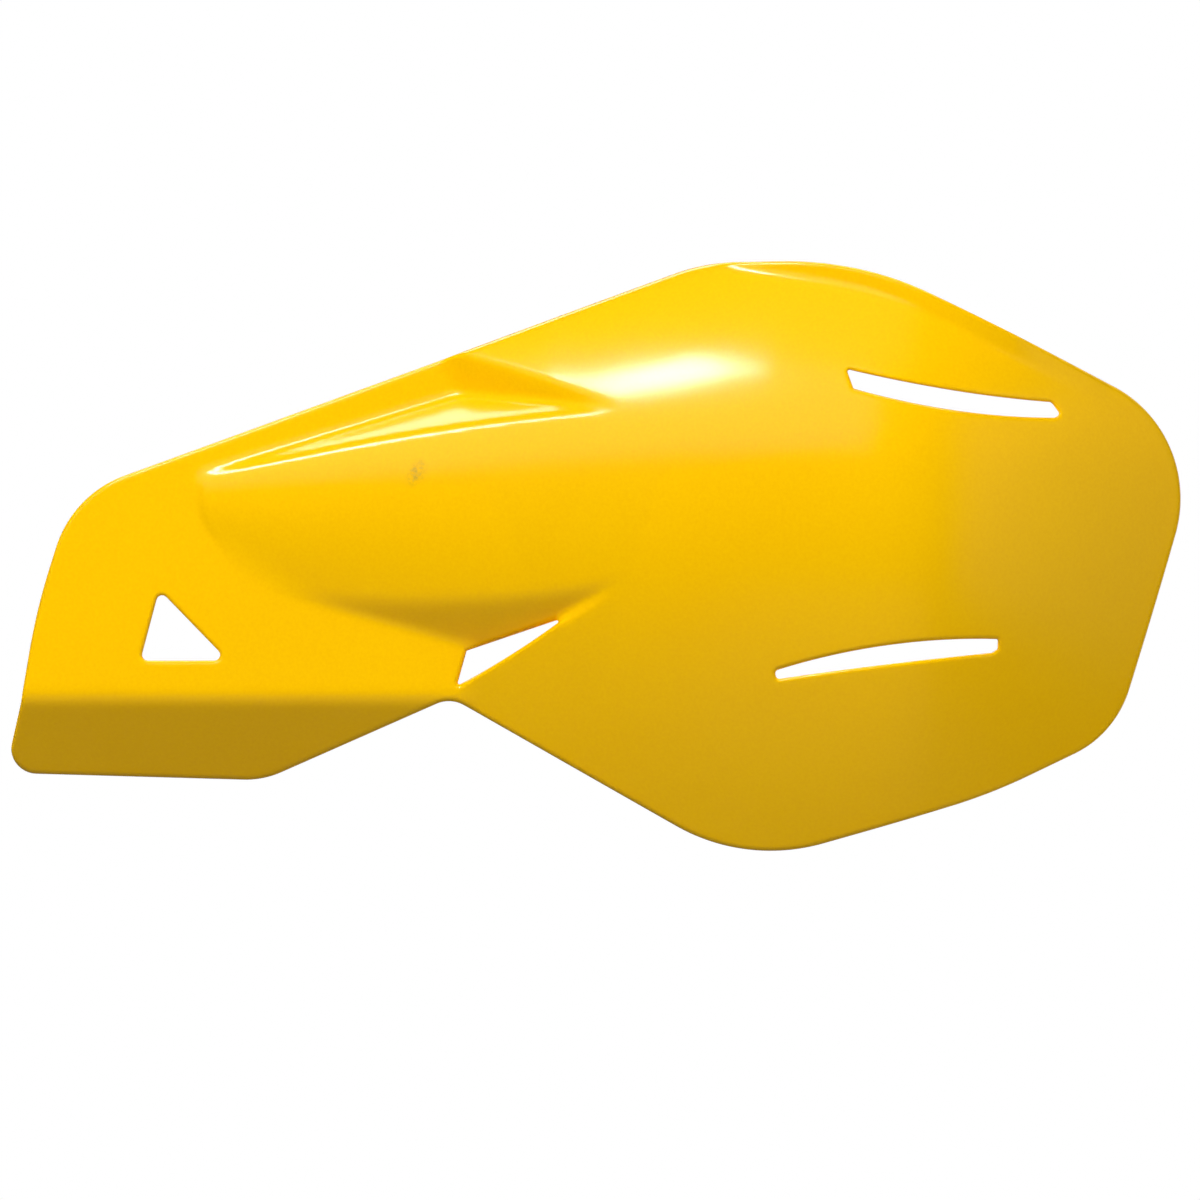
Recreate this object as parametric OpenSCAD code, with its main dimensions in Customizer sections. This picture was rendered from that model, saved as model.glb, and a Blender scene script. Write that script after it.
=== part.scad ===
// Hand guard shell for a motorcycle handlebar, one injection moulding.
// X runs outboard along the bar, -Y faces the wind, +Z is up.
// The origin lies midway between the two rear screw bosses, on the plane the bracket bolts to.

/* [Wall] */
// Thickness of the moulded wall, square to its face
wall = 2.5; // [1.8:0.1:3.2]

/* [Arm outline] */
// Distance from the screws in to the lower inboard corner
arm_reach = 92.5; // [84:0.5:110]
// Height of the lower inboard corner below the screws
arm_drop = 66.1; // [58:0.5:76]
// Distance from the screws in to the upper inboard corner
arm_top_reach = 74.2; // [66:0.2:80]
// Height of the upper inboard corner above the screws
arm_top_rise = 3.9; // [0:0.1:8]
// Where the lower edge of the arm turns up towards the waist
arm_heel_x = -27.5; // [-40:0.5:-15]
// Radius of the upper inboard corner
arm_top_radius = 28; // [15:1:34]

/* [Waist] */
// Distance of the waist notch outboard of the screws
waist_x = 20.15; // [16:0.05:26]
// Depth of the waist notch below the screws
waist_drop = 46.9; // [44:0.1:54]
// Radius in the waist notch
waist_radius = 7.5; // [4:0.5:10]

/* [Shield outline] */
// Height of the top edge above the screws
shield_top = 61.4; // [52:0.1:74]
// Where the top edge starts, outboard of the screws
shield_top_start = 83.6; // [72:0.1:94]
// Where the top edge ends, outboard of the screws
shield_top_end = 121.5; // [112:0.5:134]
// Distance from the screws out to the upper outboard corner
tip_reach = 209.6; // [190:0.2:250]
// Height of the upper outboard corner
tip_rise = 19.4; // [12:0.1:26]
// Radius of the upper outboard corner
tip_radius = 31; // [22:1:38]
// Distance from the screws out to the lower outboard corner
heel_reach = 187.3; // [172:0.1:200]
// Height of the lower outboard corner below the screws
heel_drop = 56.2; // [48:0.1:66]
// Distance from the screws out to the lowest point of the shield
chin_x = 94; // [84:1:106]
// Height of the lowest point of the shield below the screws
chin_drop = 89; // [80:1:106]

/* [Dome] */
// Furthest that the shield stands in front of the arm plate
dome_height = 37; // [30:0.5:46]
// Rise of the bulge for each millimetre outboard
bulge_slope = 0.17; // [0.14:0.005:0.22]
// Where the line of the bulge's crown meets the arm plate
bulge_start = -49; // [-56:0.5:-46]
// Rise of the shield for each millimetre outboard
shield_slope = 0.3; // [0.24:0.005:0.36]
// Where the line of the shield's crown meets the arm plate
shield_start = -19; // [-26:0.5:-14]
// Where the shield begins to wrap back round the hand
wrap_x = 122; // [105:1:136]
// Steepest slope of the wrap
wrap_slope = 1.15; // [0.8:0.01:1.5]
// Steepest slope of the shield above its crown
upper_slope = 1.1; // [0.8:0.01:1.4]
// Steepest slope of the shield below its crown
lower_slope = 0.85; // [0.6:0.01:1.1]

/* [Bulge] */
// Where the nose of the bulge leaves the arm plate
nose_x = -42.9; // [-46:0.1:-36]
// Slope of the wall along the top of the bulge
bulge_wall_slope = 1.37; // [1.1:0.01:1.8]
// Height of that wall's foot at the scoop
bulge_foot_z = 29.25; // [26:0.05:32]
// Slope of the facet under the bulge
under_slope = 0.82; // [0.6:0.01:1.1]
// Height of that facet's foot below the screws
under_foot_drop = 26.7; // [24:0.1:29]

/* [Scoop] */
// Where the scoop starts on the upper edge
scoop_x = 20.3; // [16:0.1:26]
// Slope of the scoop's floor up to the shield
scoop_slope = 0.67; // [0.5:0.01:0.9]

/* [Band] */
// Height of the band's crease below the screws
band_drop = 47; // [43:0.5:50]
// Slope of the band back from the arm plate
band_slope = 0.84; // [0.5:0.01:1.1]

/* [Rim lip] */
// How much the top rim flares forward, for each millimetre of its width
lip_flare = 0.8; // [0.2:0.05:1]

/* [Windows] */
// Length of the lower edge of the triangular window
window_width = 21.8; // [16:0.1:24]
// Height of the triangular window
window_height = 17.65; // [13:0.05:20]
// Height of its lower edge below the screws
window_drop = 37.6; // [34:0.1:40]
// Distance of its lower outboard corner inboard of the screws
window_gap = 35.5; // [33:0.1:40]
// Corner radius of the window
window_radius = 1.4; // [0.6:0.1:2.5]

/* [Upper vent] */
// Where the upper vent starts, outboard of the screws
upper_vent_x = 118; // [114:0.5:124]
// Length of the upper vent
upper_vent_length = 51.2; // [40:0.1:56]
// Height of its inboard end above the screws
upper_vent_z = 34.1; // [31:0.1:37]
// Fall of the upper vent over its length
upper_vent_fall = 7.7; // [5:0.1:10]
// Width of the upper vent at its inboard end
upper_vent_width = 4.8; // [3.5:0.1:6]

/* [Lower vent] */
// Where the lower vent starts, outboard of the screws
lower_vent_x = 100.6; // [96:0.2:106]
// Length of the lower vent
lower_vent_length = 55.15; // [44:0.05:60]
// Height of its inboard end below the screws
lower_vent_drop = 39.8; // [36:0.1:43]
// Rise of the lower vent over its length
lower_vent_rise = 7.7; // [5:0.1:10]
// Width of the lower vent at its inboard end
lower_vent_width = 2.2; // [2:0.1:4]

/* [Screw bosses] */
// Distance between the two screws
screw_spacing = 30; // [26:0.5:34]
// Radius of a boss
boss_radius = 5; // [4.2:0.1:6]
// Radius of the pilot hole for a thread-forming screw
pilot_radius = 2.1; // [1.6:0.05:2.6]
// Depth of the pilot hole
pilot_depth = 6; // [5:0.1:6.2]

/* [Hidden] */
shell_color = [0.98, 0.77, 0.0];

// Radii of the outline's other corners
top_start_radius = 45;
top_end_radius = 82;
heel_radius = 25.5;
chin_radius = 47;
arm_heel_radius = 22;
arm_low_radius = 6;
// How far the arm's lower edge falls from its corner to the waist's turn
arm_heel_fall = 1.9;
// Slight bend in the edge between the chin and the lower outboard corner
belly = [155, -70.9, 150];
// The arm's inboard edge: steps outboard from its lower corner, and heights
band_end_step = 5.25;
band_end_fall = 1.25;
band_end_radius = 5;
arm_bend_step = 9.3;
arm_bend_z = -24.5;
arm_bend_radius = 160;

// Corners of the outline as [x, z, radius], clockwise from the start of the top edge
outline = [
    [shield_top_start, shield_top, top_start_radius],
    [shield_top_end, shield_top, top_end_radius],
    [tip_reach, tip_rise, tip_radius],
    [heel_reach, -heel_drop, heel_radius],
    belly,
    [chin_x, -chin_drop, chin_radius],
    [waist_x, -waist_drop, waist_radius],
    [arm_heel_x, -arm_drop - arm_heel_fall, arm_heel_radius],
    [-arm_reach, -arm_drop, arm_low_radius],
    [-arm_reach + band_end_step, -band_drop - band_end_fall, band_end_radius],
    [-arm_reach + arm_bend_step, arm_bend_z, arm_bend_radius],
    [-arm_top_reach, arm_top_rise, arm_top_radius]
];
TIP = 2;
HEEL = 3;
ARM_LOW = 8;
ARM_TOP = 11;
arc_steps = 10;
// Lean of the moulding's ends, which the mesh columns follow
lean = 0.25;

// Rounding of the creases, as the width over which two faces blend
dome_blend = 14;
crease_blend = 2;
under_blend = 3.5;
foot_blend = 1.5;
nose_blend = 4;
rise_blend = 4;
wing_blend = 1;
lip_blend = 0.6;
lip_turn_blend = 3;
// Lengths over which the dome turns from flat to its full slope
upper_turn = 60;
lower_turn = 90;
wrap_turn = 62;
// The same at the nose of the bulge, where the dome is tighter, and how far it takes to change
nose_upper_turn = 32;
nose_lower_turn = 8;
nose_lower_slope = 0.36;
upper_run = 85;
// Height of the dome's crown at the nose and over the shield
crown_start = -40;
crown_low = 3;
crown_high = 10;
crown_run = 140;
// Slope of the bulge's nose, and the direction its lower part faces, seen from the front
nose_slope = 1.4;
cheek_dir = [0.816, 0.579];
cheek_x = -0.5;
// Where the height of the bulge wall's foot is measured
bulge_foot_x = 23.5;
// Slope of the bulge wall's foot and of the under facet's foot, seen from the front
bulge_foot_slope = 0.306;
under_foot_slope = -0.28;
// Where the arm plate ends beside the scoop, and how steeply it does
plate_end_step = 6.7;
plate_end_slope = 2.5;
plate_end_blend = 3;
// Direction in which the scoop's floor rises, seen from the front
scoop_dir = [0.892, 0.452];
scoop_z = 33.5;
// Crease between the under facet and the shield's lower wing
wing_corner = [57.25, -22];
wing_across = [0.5417, -0.8405];
wing_step = 3;
// Lip along the outboard top edge: two straight creases and where the lip fades
lip_inner = [90.7, -1.3];
lip_inner_across = [0.168, 0.986];
lip_outer = [131, -10.1];
lip_outer_across = [0.4302, 0.9028];
lip_fade = [160, 184];
// Share of the window's width at which its upper corner stands
window_apex = 0.215;
// Corners of the slit from the waist notch, and the bow of its lower edge
slit_corner = [4.05, 11.7];
slit_tip = [29.35, 20.3];
slit_heel = [1.6, 2.9];
slit_bow = 0.5;
// Bows of each vent's upper and lower edges, the corners of its outboard end and the lean of its inboard end
upper_vent_bows = [-1.2, 1.9];
upper_vent_end = [[2.3, -2.8], [1.9, -3.5], [0.7, -3.8]];
upper_vent_lean = 1.65;
lower_vent_bows = [2.3, -0.4];
lower_vent_end = [[0, -2.5], [-0.75, -3.3], [-1.5, -3.4]];
lower_vent_lean = 0.4;
lower_vent_nose = 0.75;
boss_sides = 48;

function unit(v) = v / norm(v);
function mix(a, b, t) = a * (1 - t) + b * t;
function clamp01(t) = max(0, min(1, t));
function soft_min(a, b, k) =
    let (t = clamp01(0.5 + 0.5 * (b - a) / k))
    b * (1 - t) + a * t - k * t * (1 - t);
function soft_max(a, b, k) = -soft_min(-a, -b, k);
function soft_ramp(d, k) = (d + sqrt(d * d + k * k)) / 2;
// A curve that starts flat and bends to a steady slope
function bow(d, slope, turn) = slope * (sqrt(d * d + turn * turn) - turn);

// The dome that the bulge and the shield share
function crown_height(x) =
    soft_min(
        soft_max(bulge_slope * (x - bulge_start), shield_slope * (x - shield_start), rise_blend),
        dome_height - (x > wrap_x ? bow(x - wrap_x, wrap_slope, wrap_turn) : 0),
        dome_blend);
function dome(x, z) =
    let (far = clamp01((x - crown_start) / crown_run))
    let (d = z - mix(crown_low, crown_high, far))
    let (above = mix(nose_upper_turn, upper_turn, clamp01((x - crown_start) / upper_run)))
    let (below = mix(nose_lower_turn, lower_turn, far))
    crown_height(x)
        - (d > 0 ? bow(d, upper_slope, above) : bow(d, mix(nose_lower_slope, lower_slope, far), below));

// The flat arm plate, with the band bent back along its lower edge
function arm(x, z) =
    soft_min(
        soft_min(0, band_slope * (z + band_drop), crease_blend),
        plate_end_slope * (scoop_x + plate_end_step - x), plate_end_blend);

// The bulge: a steep wall on top, a nose whose cheek turns under it, and a facet underneath
function bulge(x, z) =
    let (top_wall = bulge_wall_slope * (bulge_foot_z + bulge_foot_slope * (x - bulge_foot_x) - z))
    let (nose = nose_slope * (x - nose_x))
    let (cheek = nose_slope * (([x, z] - [nose_x + cheek_x, 0]) * cheek_dir))
    let (under = under_slope * (z + under_foot_drop - under_foot_slope * x))
    soft_min(soft_min(top_wall, nose, nose_blend), soft_min(under, cheek, under_blend), under_blend);

// The shield: the scoop's floor on its inboard side and the step to its lower wing
function shield(x, z) =
    let (scoop_floor = scoop_slope * (([x, z] - [scoop_x, scoop_z]) * scoop_dir))
    let (wing = dome(x, z) + wing_step * (([x, z] - wing_corner) * wing_across))
    soft_max(scoop_floor, wing, wing_blend);

// The lip that stiffens the outboard top edge
function lip(x, z) =
    let (inner = ([x, z - shield_top] - lip_inner) * lip_inner_across)
    let (outer = ([x, z - shield_top] - lip_outer) * lip_outer_across)
    let (fade = clamp01((lip_fade[1] - x) / (lip_fade[1] - lip_fade[0])))
    lip_flare * fade * soft_ramp(soft_max(inner, outer, lip_turn_blend), lip_blend);

// How far the front face stands in front of the arm plate
function height(x, z) =
    let (body = soft_min(dome(x, z), soft_max(bulge(x, z), shield(x, z), crease_blend), crease_blend))
    soft_max(arm(x, z), body, foot_blend) + lip(x, z);

// Length of the wall along Y, which keeps its thickness square to a sloping face
function wall_along_y(x, z) =
    let (e = 0.1)
    let (gx = (height(x + e, z) - height(x - e, z)) / (2 * e))
    let (gz = (height(x, z + e) - height(x, z - e)) / (2 * e))
    wall * sqrt(1 + gx * gx + gz * gz);

// Points of a rounded corner, from the edge before it to the edge after it
function corner(points, i) =
    let (n = len(points))
    let (p = [points[i][0], points[i][1]])
    let (before = points[(i + n - 1) % n])
    let (after = points[(i + 1) % n])
    let (u = unit([before[0], before[1]] - p))
    let (w = unit([after[0], after[1]] - p))
    let (half = acos(u * w) / 2)
    let (r = points[i][2])
    let (centre = p + unit(u + w) * r / sin(half))
    let (spoke = p + u * r / tan(half) - centre)
    let (start = atan2(spoke[1], spoke[0]))
    let (turn = (180 - 2 * half) * (u[0] * w[1] - u[1] * w[0] > 0 ? -1 : 1))
    [for (k = [0:arc_steps]) centre + r * [cos(start + turn * k / arc_steps), sin(start + turn * k / arc_steps)]];
function half_corner(i, second) =
    let (c = corner(outline, i))
    [for (k = [0:arc_steps / 2]) c[k + (second ? arc_steps / 2 : 0)]];
function whole_corners(from, to) = [for (i = [from:to]) each corner(outline, i)];

// The four sides of the outline, as tables that give one coordinate from another
function by_station(points) = [for (p = points) [p[0] - lean * p[1], p[1]]];
function by_height(points) = [for (p = points) [p[1], p[0]]];
top_side = by_station(concat(half_corner(ARM_TOP, true), whole_corners(0, 1), half_corner(TIP, false)));
right_side = by_height(concat(half_corner(TIP, true), half_corner(HEEL, false)));
bottom_side = by_station(
    concat(half_corner(HEEL, true), whole_corners(HEEL + 1, ARM_LOW - 1), half_corner(ARM_LOW, false)));
left_side = by_height(
    concat(half_corner(ARM_LOW, true), whole_corners(ARM_LOW + 1, ARM_TOP - 1), half_corner(ARM_TOP, false)));

function last(list) = list[len(list) - 1];
function at_station(side, s) = let (z = lookup(s, side)) [s + lean * z, z];
function at_height(side, z) = [lookup(z, side), z];

// Mesh columns, closer together over the scoop and at the round ends
top_ends = [top_side[0][0], last(top_side)[0]];
bottom_ends = [last(bottom_side)[0], bottom_side[0][0]];
left_ends = [left_side[0][0], last(left_side)[0]];
right_ends = [last(right_side)[0], right_side[0][0]];
columns = [
    for (k = [0:5]) 0.035 * k / 6,
    for (k = [0:17]) mix(0.035, 0.32, k / 18),
    for (k = [0:17]) mix(0.32, 0.5, k / 18),
    for (k = [0:19]) mix(0.5, 0.93, k / 20),
    for (k = [0:6]) mix(0.93, 1, k / 6)
];
// Mesh rows between named lines of the form, which fan out past them
band_line = [[-95, -58], [-82, -48.5], [18, -47.5], [57, -48], [94, -68], [200, -48]];
foot_line = [[-95, -54], [-75, -42], [-43, -14], [-27.5, -19], [22, -34], [36, -34], [57, -24], [94, -44], [200, -36]];
ridge_line = [[-95, -44], [-75, -30], [-43, -5], [-27.5, -15], [15, -19], [57, -20.5], [94, -20], [200, -24]];
wall_line = [[-95, -30], [-75, -14], [-43, 2], [-12, 14.5], [23, 23], [45, 24], [60, 21], [94, 16], [200, -6]];
top_line = [[-95, -20], [-75, -6], [-43, 5], [-30, 12.5], [23.5, 29.5], [45, 28.5], [60, 25.5], [94, 44], [200, 8]];
row_lines = [band_line, foot_line, ridge_line, wall_line, top_line];
row_counts = [5, 5, 5, 6, 6, 6];

function line_share(line, low, high, s) =
    let (z = lookup(s, line))
    (lookup(s + lean * z, line) - low[1]) / (high[1] - low[1]);
function shares(low, high, s) =
    concat([0], [for (line = row_lines) clamp01(line_share(line, low, high, s))], [1]);
function rows(low, high, s) =
    let (knots = shares(low, high, s))
    concat([for (k = [0:5]) for (j = [0:row_counts[k] - 1]) mix(knots[k], knots[k + 1], j / row_counts[k])], [1]);

// The outline filled from its four sides
function patch(u, v) =
    let (top = at_station(top_side, mix(top_ends[0], top_ends[1], u)))
    let (bottom = at_station(bottom_side, mix(bottom_ends[0], bottom_ends[1], u)))
    let (left = at_height(left_side, mix(left_ends[0], left_ends[1], v)))
    let (right = at_height(right_side, mix(right_ends[0], right_ends[1], v)))
    let (low_left = at_height(left_side, left_ends[0]), high_left = at_height(left_side, left_ends[1]))
    let (low_right = at_height(right_side, right_ends[0]), high_right = at_height(right_side, right_ends[1]))
    mix(bottom, top, v) + mix(left, right, u)
        - mix(mix(low_left, high_left, v), mix(low_right, high_right, v), u);

plan = [
    for (u = columns)
        let (low = at_station(bottom_side, mix(bottom_ends[0], bottom_ends[1], u)))
        let (high = at_station(top_side, mix(top_ends[0], top_ends[1], u)))
        [for (v = rows(low, high, mix(bottom_ends[0], bottom_ends[1], u))) patch(u, v)]
];
last_column = len(plan) - 1;
last_row = len(plan[0]) - 1;
face_size = len(plan) * len(plan[0]);

function front(i, j) = i * (last_row + 1) + j;
function rear(i, j) = face_size + front(i, j);

// The skin without its windows: a front face, a rear face and the rim between them
module skin() {
    front_points = [for (c = plan) for (p = c) [p[0], -height(p[0], p[1]) - wall, p[1]]];
    rear_points = [for (p = front_points) p + [0, wall_along_y(p[0], p[2]), 0]];
    rim = concat(
        [for (j = [0:last_row - 1]) [0, j]],
        [for (i = [0:last_column - 1]) [i, last_row]],
        [for (j = [last_row:-1:1]) [last_column, j]],
        [for (i = [last_column:-1:1]) [i, 0]]);
    front_faces = [
        for (i = [0:last_column - 1], j = [0:last_row - 1]) each [
            [front(i, j), front(i, j + 1), front(i + 1, j + 1)],
            [front(i, j), front(i + 1, j + 1), front(i + 1, j)]]];
    rear_faces = [for (f = front_faces) [f[2] + face_size, f[1] + face_size, f[0] + face_size]];
    rim_faces = [
        for (k = [0:len(rim) - 1])
            let (a = rim[k], b = rim[(k + 1) % len(rim)])
            each [
                [front(b[0], b[1]), front(a[0], a[1]), rear(a[0], a[1])],
                [front(b[0], b[1]), rear(a[0], a[1]), rear(b[0], b[1])]]];
    polyhedron(concat(front_points, rear_points), concat(front_faces, rear_faces, rim_faces));
}

// Cuts a flat shape, drawn as seen from the front, right through the wall
module cut_through(points) {
    rotate([90, 0, 0]) linear_extrude(height = 4 * dome_height, center = true) polygon(points);
}

// A line bowed sideways by a parabola
function bowed(a, b, rise, steps) = [
    for (k = [0:steps])
        mix(a, b, k / steps) + unit([a[1] - b[1], b[0] - a[0]]) * rise * 4 * (k / steps) * (1 - k / steps)];

module triangular_window() {
    left = -window_gap - window_width;
    low = -window_drop;
    corners = [
        [left + window_apex * window_width, low + window_height, window_radius],
        [-window_gap, low, window_radius],
        [left, low, window_radius]];
    cut_through([for (i = [0:2]) each corner(corners, i)]);
}

// The slit between the under facet and the lower wing
module waist_slit() {
    notch = [waist_x, -waist_drop];
    cut_through(concat([notch + slit_corner], bowed(notch + slit_tip, notch + slit_heel, slit_bow, 4)));
}

module upper_vent() {
    start = [upper_vent_x, upper_vent_z];
    end = start + [upper_vent_length, -upper_vent_fall];
    cut_through(concat(
        bowed(start, end, upper_vent_bows[0], 8),
        [end + upper_vent_end[0], end + upper_vent_end[1]],
        bowed(end + upper_vent_end[2], start + [upper_vent_lean, -upper_vent_width], upper_vent_bows[1], 8)));
}

module lower_vent() {
    start = [lower_vent_x, -lower_vent_drop];
    end = start + [lower_vent_length, lower_vent_rise];
    cut_through(concat(
        bowed(start, end, lower_vent_bows[0], 8),
        [end + lower_vent_end[0], end + lower_vent_end[1]],
        bowed(end + lower_vent_end[2], start + [lower_vent_lean, -lower_vent_width], lower_vent_bows[1], 6),
        [start + [-lower_vent_nose, -lower_vent_width / 2]]));
}

// A boss behind the bulge, whose end follows the slope of the skin
module screw_boss(x) {
    boss_length = height(x, 0) + wall / 2;
    intersection() {
        translate([x, 0, 0]) rotate([90, 0, 0]) cylinder(h = 2 * boss_length, r = boss_radius, $fn = boss_sides);
        translate([x, -boss_length, 0]) rotate([0, 0, -atan(bulge_slope)])
            translate([-2 * boss_radius, 0, -2 * boss_radius])
                cube([4 * boss_radius, 3 * boss_length, 4 * boss_radius]);
    }
}

module pilot_hole(x) {
    translate([x, 1, 0]) rotate([90, 0, 0]) cylinder(h = pilot_depth + 1, r = pilot_radius, $fn = boss_sides);
}

module guard_shell() {
    color(shell_color)
    difference() {
        union() {
            skin();
            for (side = [-1, 1]) screw_boss(side * screw_spacing / 2);
        }
        for (side = [-1, 1]) pilot_hole(side * screw_spacing / 2);
        triangular_window();
        waist_slit();
        upper_vent();
        lower_vent();
    }
}

guard_shell();
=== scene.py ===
"""Dresses the motorcycle hand guard: the finely moulded shell, its glossy yellow plastic, light and camera.

Sizes are in millimetres, as in the part's own source, and become metres where a mesh or an object is made.
"""
import math

import bmesh
import bpy
import numpy as np
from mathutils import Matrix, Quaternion, Vector
from mathutils.geometry import delaunay_2d_cdt


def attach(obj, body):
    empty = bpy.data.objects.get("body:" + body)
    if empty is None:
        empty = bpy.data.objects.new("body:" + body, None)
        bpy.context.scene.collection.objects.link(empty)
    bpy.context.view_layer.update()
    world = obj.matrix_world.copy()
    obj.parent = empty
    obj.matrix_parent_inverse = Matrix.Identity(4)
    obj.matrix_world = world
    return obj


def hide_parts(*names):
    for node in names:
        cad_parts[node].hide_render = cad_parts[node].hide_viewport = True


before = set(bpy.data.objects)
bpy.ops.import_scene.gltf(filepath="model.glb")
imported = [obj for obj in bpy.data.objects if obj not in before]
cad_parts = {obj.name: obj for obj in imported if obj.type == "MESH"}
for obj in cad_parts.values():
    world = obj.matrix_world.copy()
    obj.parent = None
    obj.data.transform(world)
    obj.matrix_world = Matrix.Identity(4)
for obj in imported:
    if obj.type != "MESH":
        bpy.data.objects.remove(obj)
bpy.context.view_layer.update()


MM = 0.001

# Outline corners as (x, z, radius), clockwise from the start of the top edge
SHIELD_TOP = 61.4
BAND_DROP = 47.0
ARM_REACH = 92.5
ARM_DROP = 66.1
ARM_HEEL_FALL = 1.9
ARM_BEND_STEP = 9.3
BAND_END_STEP = 5.25
BAND_END_FALL = 1.25
OUTLINE = [
    (83.6, SHIELD_TOP, 45), (121.5, SHIELD_TOP, 82), (209.6, 19.4, 31), (187.3, -56.2, 25.5),
    (155, -70.9, 150), (94, -89, 47), (20.15, -46.9, 7.5), (-27.5, -ARM_DROP - ARM_HEEL_FALL, 22),
    (-ARM_REACH, -ARM_DROP, 6), (BAND_END_STEP - ARM_REACH, -BAND_DROP - BAND_END_FALL, 5),
    (ARM_BEND_STEP - ARM_REACH, -24.5, 160), (-74.2, 3.9, 28),
]
OUTLINE_BOWS = [0] * len(OUTLINE)
OUTLINE_STEP = 1.0

# Windows and vents as corners (x, z, radius), with the bow of the edge that follows each corner
WINDOW = [(-52.6, -19.95, 1.4), (-35.5, -37.6, 1.4), (-57.3, -37.6, 1.4)]
WINDOW_BOWS = [0, 0, 0]
SLIT = [(24.2, -35.2, 0.4), (49.5, -26.6, 0.35), (21.75, -44.0, 0.4)]
SLIT_BOWS = [0, 0.5, 0]
UPPER_VENT = [
    (118, 34.1, 0.5), (169.2, 26.4, 1.2), (171.5, 23.4, 0.8), (169.9, 22.6, 0.6), (119.65, 29.3, 0.6),
]
UPPER_VENT_BOWS = [-1.2, 0, 0, 1.9, 0]
LOWER_VENT = [
    (100.6, -39.8, 0.9), (155.75, -32.1, 0.4), (155.75, -34.6, 0.4), (154.3, -35.5, 0.4), (101, -42, 0.9),
]
LOWER_VENT_BOWS = [2.3, 0, 0, -0.4, 0]
OPENINGS = [
    (WINDOW, WINDOW_BOWS), (SLIT, SLIT_BOWS), (UPPER_VENT, UPPER_VENT_BOWS), (LOWER_VENT, LOWER_VENT_BOWS),
]
OPENING_STEP = 0.8
BOW_STEPS = 36
FEWEST_ARC_PIECES = 4

# Moulded wall and rim
WALL = 2.5
EDGE_RADIUS = 1.05
RIM_STEPS = 4
# Flat ring inside the rounded rim, and the most that a ring's points draw apart at a corner
RIM_MARGIN = 0.45
WIDEST_STRETCH = 2.0
# Step of the grid that fills the plan, and how near the rings its points come, as a share of it
GRID = 1.15
GRID_GAP = 0.55
SAME_POINT = 1e-6
# Triangles of the plan flatter than this lie along its straight edges and are left out
LEAST_TURN = 0.01

# Rule of the skin
RULE = {
    "Dome height": 37.0, "Bulge slope": 0.17, "Bulge start": -49.0,
    "Shield slope": 0.3, "Shield start": -19.0, "Wrap start": 122.0,
    "Wrap slope": 1.15, "Upper slope": 1.1, "Lower slope": 0.85,
    "Nose": -42.9, "Bulge wall slope": 1.37, "Bulge foot": 29.25, "Under slope": 0.82, "Under foot": 26.7,
    "Scoop start": 20.3, "Scoop slope": 0.67, "Band drop": BAND_DROP, "Band slope": 0.84, "Lip flare": 0.8,
}
DOME_BLEND = 14.0
CREASE_BLEND = 2.0
RIDGE_BLEND = 1.2
UNDER_BLEND = 3.5
FOOT_BLEND = 1.5
NOSE_BLEND = 4.0
RISE_BLEND = 4.0
PLATE_END_BLEND = 3.0
WING_BLEND = 1.0
LIP_TURN_BLEND = 3.0
LIP_BLEND = 0.6
UPPER_TURN = 60.0
LOWER_TURN = 90.0
WRAP_TURN = 62.0
# The same three at the nose of the bulge, where the form is tighter
NOSE_UPPER_TURN = 32.0
NOSE_LOWER_TURN = 8.0
NOSE_LOWER_SLOPE = 0.36
UPPER_RUN = 85.0
CROWN_LOW = 3.0
CROWN_HIGH = 10.0
CROWN_START = -40.0
CROWN_RUN = 140.0
# Where the arm plate ends beside the scoop, and how steeply
PLATE_END_STEP = 6.7
PLATE_END_SLOPE = -2.5
# The bulge: the lines of its wall's and under facet's feet, and its nose and cheek
BULGE_FOOT_X = 23.5
BULGE_FOOT_SLOPE = 0.306
UNDER_FOOT_SLOPE = -0.28
NOSE_SLOPE = 1.4
CHEEK_STEP = -0.5
CHEEK_ACROSS = (0.816, 0.579)
# The scoop's floor, the lower wing's crease and the lip's two creases: a point and the way across
SCOOP_Z = 33.5
SCOOP_ACROSS = (0.892, 0.452)
WING_CORNER = (57.25, -22.0)
WING_ACROSS = (0.5417, -0.8405)
WING_STEP = 3.0
LIP_INNER = (90.7, SHIELD_TOP - 1.3)
LIP_INNER_ACROSS = (0.168, 0.986)
LIP_OUTER = (131.0, SHIELD_TOP - 10.1)
LIP_OUTER_ACROSS = (0.4302, 0.9028)
LIP_END = 184.0
LIP_FADE = 24.0
# Half the distance over which the skin's slope is measured
SLOPE_REACH = 0.1

# Screw bosses on the rear
SCREW_SPACING = 30.0
BOSS_RADIUS = 5.0
BOSS_FOOT = 1.3
BOSS_FOOT_STEPS = 6
PILOT_RADIUS = 2.1
PILOT_DEPTH = 6.0
BOSS_CHAMFER = 0.4
BOSS_SIDES = 64


def half_angle(before, corner, after):
    """Half of the angle between the two edges at a corner."""
    first = (before - corner) / np.linalg.norm(before - corner)
    second = (after - corner) / np.linalg.norm(after - corner)
    return first, second, math.acos(np.clip(first @ second, -1, 1)) / 2


def round_corner(before, corner, after, radius, step):
    """Points of the arc that rounds a corner."""
    first, second, half = half_angle(before, corner, after)
    bisector = (first + second) / np.linalg.norm(first + second)
    centre = corner + bisector * radius / math.sin(half)
    spoke = corner + first * radius / math.tan(half) - centre
    start = math.atan2(spoke[1], spoke[0])
    turn = math.pi - 2 * half
    if first[0] * second[1] - first[1] * second[0] > 0:
        turn = -turn
    count = max(FEWEST_ARC_PIECES, int(abs(turn) * radius / step) + 1)
    angles = start + turn * np.linspace(0, 1, count + 1)
    return centre + radius * np.column_stack([np.cos(angles), np.sin(angles)])


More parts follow.
